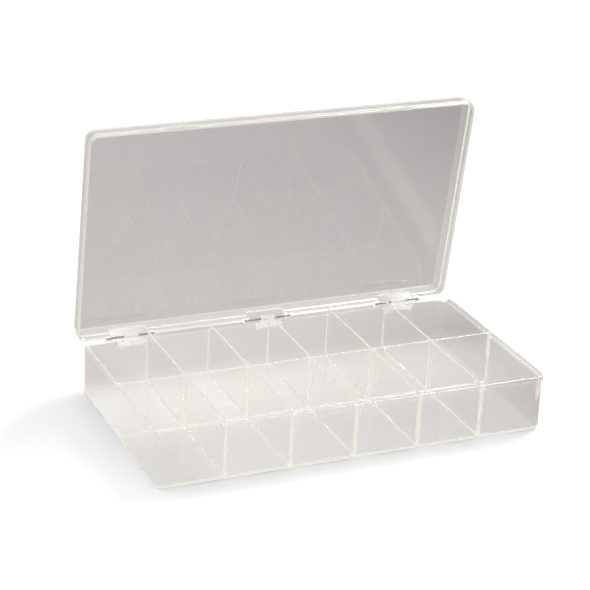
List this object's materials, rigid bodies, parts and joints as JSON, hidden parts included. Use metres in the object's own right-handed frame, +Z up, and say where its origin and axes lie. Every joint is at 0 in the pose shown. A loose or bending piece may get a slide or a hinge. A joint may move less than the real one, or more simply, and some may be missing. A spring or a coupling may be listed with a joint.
{
  "type": "parts sorting tray",
  "caption": "Shallow clear plastic box divided into a grid of compartments, with a flat lid on rear hinges that stands open and folds right back.",
  "frame": {"origin": "centre of the tray's flat underside", "axes": "+Z up, +X to the right along the long side, +Y to the rear where the hinges are"},
  "size_m": [0.2818, 0.1704, 0.1947],
  "materials": {
    "tray_plastic": "clear polystyrene, faint cream tint, gloss",
    "lid_plastic": "clear polystyrene, faint smoky cream tint, gloss",
    "clip_plastic": "whiter clear plastic, gloss",
    "pin_steel": "drawn wire, satin"
  },
  "bodies": {
    "tray": {"tray": "tray_plastic", "hinge_clip_left": "clip_plastic", "hinge_clip_centre": "clip_plastic", "hinge_clip_right": "clip_plastic"},
    "lid": {"lid": "lid_plastic", "hinge_pin_left": "pin_steel", "hinge_pin_centre": "pin_steel", "hinge_pin_right": "pin_steel"}
  },
  "joints": [
    {"name": "lid_hinge", "type": "hinge", "parent": "tray", "child": "lid", "pos_m": [0, 0.0794, 0.0362], "axis": [-1, 0, 0], "range_deg": [-80, 100]}
  ]
}
